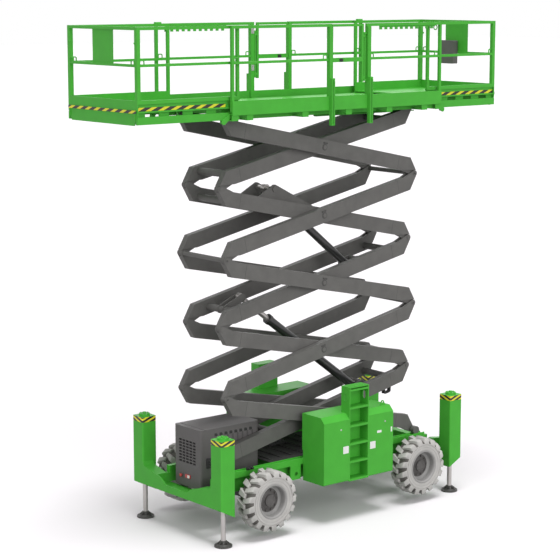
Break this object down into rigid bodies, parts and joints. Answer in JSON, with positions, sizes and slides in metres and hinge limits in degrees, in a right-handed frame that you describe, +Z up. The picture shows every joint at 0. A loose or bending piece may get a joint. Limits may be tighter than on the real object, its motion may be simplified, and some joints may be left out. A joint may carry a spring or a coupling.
{
  "type": "rough-terrain scissor lift",
  "caption": "Tall multi-level scissor lift on four wheels, with stabilizer legs, a caged platform and roll-out end decks.",
  "frame": {"origin": "on the ground under the middle of the whole machine", "axes": "+X to the steered front end, +Y to the far side, +Z up"},
  "size_m": [6.5774, 2.2348, 7.052],
  "materials": {
    "green_paint": "gloss green powder coat",
    "arm_grey": "satin dark grey paint on steel",
    "cylinder_black": "satin black paint",
    "rod_chrome": "hard chrome, polished",
    "foot_black": "worn black paint",
    "tyre_grey": "light grey non-marking rubber",
    "rim_grey": "satin light grey paint",
    "pack_grey": "fine textured dark grey paint",
    "axle_black": "matt dark paint"
  },
  "bodies": {
    "chassis": {"chassis_frame": "green_paint", "rear_end_frame": "green_paint", "front_end_frame": "green_paint", "power_pack": "pack_grey", "cabinet_near": "green_paint", "cabinet_far": "green_paint", "ladder_near": "green_paint", "ladder_far": "green_paint", "rear_axle": "axle_black", "front_axle": "axle_black"},
    "inner_1": {"inner_arms_1": "arm_grey"},
    "outer_1": {"outer_arms_1": "arm_grey"},
    "inner_2": {"inner_arms_2": "arm_grey"},
    "outer_2": {"outer_arms_2": "arm_grey"},
    "inner_3": {"inner_arms_3": "arm_grey"},
    "outer_3": {"outer_arms_3": "arm_grey"},
    "inner_4": {"inner_arms_4": "arm_grey"},
    "outer_4": {"outer_arms_4": "arm_grey"},
    "inner_5": {"inner_arms_5": "arm_grey"},
    "outer_5": {"outer_arms_5": "arm_grey"},
    "platform": {"main_deck": "green_paint", "main_rail_near": "green_paint", "main_rail_far": "green_paint"},
    "lower_barrel": {"lower_lift_barrel": "cylinder_black"},
    "lower_rod": {"lower_lift_rod": "rod_chrome"},
    "upper_barrel": {"upper_lift_barrel": "cylinder_black"},
    "upper_rod": {"upper_lift_rod": "rod_chrome"},
    "wheel_rear_near": {"tyre_rear_near": "tyre_grey", "rim_rear_near": "rim_grey"},
    "wheel_rear_far": {"tyre_rear_far": "tyre_grey", "rim_rear_far": "rim_grey"},
    "wheel_front_near": {"tyre_front_near": "tyre_grey", "rim_front_near": "rim_grey"},
    "knuckle_near": {"knuckle_front_near": "axle_black"},
    "wheel_front_far": {"tyre_front_far": "tyre_grey", "rim_front_far": "rim_grey"},
    "knuckle_far": {"knuckle_front_far": "axle_black"},
    "leg_rear_near": {"leg_rod_rear_near": "rod_chrome", "leg_foot_rear_near": "foot_black"},
    "leg_rear_far": {"leg_rod_rear_far": "rod_chrome", "leg_foot_rear_far": "foot_black"},
    "leg_front_near": {"leg_rod_front_near": "rod_chrome", "leg_foot_front_near": "foot_black"},
    "leg_front_far": {"leg_rod_front_far": "rod_chrome", "leg_foot_front_far": "foot_black"},
    "gate_near": {"gate_near": "green_paint"},
    "gate_far": {"gate_far": "green_paint"},
    "rear_extension": {"rear_tray": "green_paint", "rear_cage": "green_paint", "rear_panel": "green_paint"},
    "front_extension": {"front_tray": "green_paint", "front_cage": "green_paint", "front_panel": "green_paint", "document_box": "pack_grey"}
  },
  "joints": [
    {"name": "lift", "type": "hinge", "parent": "chassis", "child": "inner_1", "pos_m": [-1.63247, 0, 0.96], "axis": [0, -1, 0], "range_deg": [-10.9, 27.5]},
    {"name": "centre_pivot_1", "type": "hinge", "parent": "inner_1", "child": "outer_1", "pos_m": [0.127, 0, 1.44464], "axis": [0, -1, 0], "range_deg": [-55.01, 21.81]},
    {"name": "end_pivot_1", "type": "hinge", "parent": "inner_1", "child": "inner_2", "pos_m": [1.88647, 0, 1.92928], "axis": [0, -1, 0], "range_deg": [-55.01, 21.81]},
    {"name": "centre_pivot_2", "type": "hinge", "parent": "inner_2", "child": "outer_2", "pos_m": [0.127, 0, 2.41392], "axis": [0, -1, 0], "range_deg": [-21.81, 55.01]},
    {"name": "end_pivot_2", "type": "hinge", "parent": "inner_2", "child": "inner_3", "pos_m": [-1.63247, 0, 2.89856], "axis": [0, -1, 0], "range_deg": [-21.81, 55.01]},
    {"name": "centre_pivot_3", "type": "hinge", "parent": "inner_3", "child": "outer_3", "pos_m": [0.127, 0, 3.3832], "axis": [0, -1, 0], "range_deg": [-55.01, 21.81]},
    {"name": "end_pivot_3", "type": "hinge", "parent": "inner_3", "child": "inner_4", "pos_m": [1.88647, 0, 3.86784], "axis": [0, -1, 0], "range_deg": [-55.01, 21.81]},
    {"name": "centre_pivot_4", "type": "hinge", "parent": "inner_4", "child": "outer_4", "pos_m": [0.127, 0, 4.35248], "axis": [0, -1, 0], "range_deg": [-21.81, 55.01]},
    {"name": "end_pivot_4", "type": "hinge", "parent": "inner_4", "child": "inner_5", "pos_m": [-1.63247, 0, 4.83712], "axis": [0, -1, 0], "range_deg": [-21.81, 55.01]},
    {"name": "centre_pivot_5", "type": "hinge", "parent": "inner_5", "child": "outer_5", "pos_m": [0.127, 0, 5.32176], "axis": [0, -1, 0], "range_deg": [-55.01, 21.81]},
    {"name": "platform_pivot", "type": "hinge", "parent": "outer_5", "child": "platform", "pos_m": [-1.63247, 0, 5.8064], "axis": [0, -1, 0], "range_deg": [-10.91, 27.51]},
    {"name": "lower_cylinder_pivot", "type": "hinge", "parent": "inner_1", "child": "lower_barrel", "pos_m": [1.157, 0, 1.65], "axis": [0, -1, 0], "range_deg": [-55.81, 22.13]},
    {"name": "lower_cylinder_rod", "type": "slide", "parent": "lower_barrel", "child": "lower_rod", "axis": [-0.8049, 0, 0.5934], "range_m": [-0.55263, 1.39273]},
    {"name": "upper_cylinder_pivot", "type": "hinge", "parent": "inner_3", "child": "upper_barrel", "pos_m": [1, 0, 3.521], "axis": [0, -1, 0], "range_deg": [-55.71, 22.09]},
    {"name": "upper_cylinder_rod", "type": "slide", "parent": "upper_barrel", "child": "upper_rod", "axis": [-0.7786, 0, 0.6276], "range_m": [-0.34925, 0.87961]},
    {"name": "wheel_rear_near_spin", "type": "hinge", "parent": "chassis", "child": "wheel_rear_near", "pos_m": [-1.28, -0.967, 0.538], "axis": [0, 1, 0], "continuous": true},
    {"name": "wheel_rear_far_spin", "type": "hinge", "parent": "chassis", "child": "wheel_rear_far", "pos_m": [-1.28, 0.967, 0.538], "axis": [0, 1, 0], "continuous": true},
    {"name": "steer_near", "type": "hinge", "parent": "chassis", "child": "knuckle_near", "pos_m": [1.6, -0.767, 0.538], "axis": [0, 0, 1], "range_deg": [-27, 27]},
    {"name": "wheel_front_near_spin", "type": "hinge", "parent": "knuckle_near", "child": "wheel_front_near", "pos_m": [1.6, -0.967, 0.538], "axis": [0, 1, 0], "continuous": true},
    {"name": "steer_far", "type": "hinge", "parent": "chassis", "child": "knuckle_far", "pos_m": [1.6, 0.767, 0.538], "axis": [0, 0, 1], "range_deg": [-27.01, 27.01]},
    {"name": "wheel_front_far_spin", "type": "hinge", "parent": "knuckle_far", "child": "wheel_front_far", "pos_m": [1.6, 0.967, 0.538], "axis": [0, 1, 0], "continuous": true},
    {"name": "leg_rear_near_stroke", "type": "slide", "parent": "chassis", "child": "leg_rear_near", "axis": [0, 0, 1], "range_m": [-0.1, 0.37]},
    {"name": "leg_rear_far_stroke", "type": "slide", "parent": "chassis", "child": "leg_rear_far", "axis": [0, 0, 1], "range_m": [-0.1, 0.37]},
    {"name": "leg_front_near_stroke", "type": "slide", "parent": "chassis", "child": "leg_front_near", "axis": [0, 0, 1], "range_m": [-0.1, 0.37]},
    {"name": "leg_front_far_stroke", "type": "slide", "parent": "chassis", "child": "leg_front_far", "axis": [0, 0, 1], "range_m": [-0.1, 0.37]},
    {"name": "gate_near_hinge", "type": "hinge", "parent": "platform", "child": "gate_near", "pos_m": [0.585, -0.855, 6.6], "axis": [0, 0, 1], "range_deg": [-90, 0]},
    {"name": "gate_far_hinge", "type": "hinge", "parent": "platform", "child": "gate_far", "pos_m": [-0.015, 0.855, 6.6], "axis": [0, 0, 1], "range_deg": [-90, 0]},
    {"name": "rear_extension_slide", "type": "slide", "parent": "platform", "child": "rear_extension", "axis": [1, 0, 0], "range_m": [0, 1.4]},
    {"name": "front_extension_slide", "type": "slide", "parent": "platform", "child": "front_extension", "axis": [-1, 0, 0], "range_m": [0, 1.12]}
  ],
  "couplings": [
    {"joint": "centre_pivot_1", "follows": "lift", "ratio": -2},
    {"joint": "end_pivot_1", "follows": "lift", "ratio": -2},
    {"joint": "centre_pivot_2", "follows": "lift", "ratio": 2},
    {"joint": "end_pivot_2", "follows": "lift", "ratio": 2},
    {"joint": "centre_pivot_3", "follows": "lift", "ratio": -2},
    {"joint": "end_pivot_3", "follows": "lift", "ratio": -2},
    {"joint": "centre_pivot_4", "follows": "lift", "ratio": 2},
    {"joint": "end_pivot_4", "follows": "lift", "ratio": 2},
    {"joint": "centre_pivot_5", "follows": "lift", "ratio": -2},
    {"joint": "platform_pivot", "follows": "lift", "ratio": 1},
    {"joint": "lower_cylinder_pivot", "follows": "lift", "ratio": -2.0292},
    {"joint": "lower_cylinder_rod", "follows": "lift", "m_per_rad": 2.8996},
    {"joint": "upper_cylinder_pivot", "follows": "lift", "ratio": -2.0255},
    {"joint": "upper_cylinder_rod", "follows": "lift", "m_per_rad": 1.8306},
    {"joint": "steer_far", "follows": "steer_near", "ratio": 1}
  ]
}
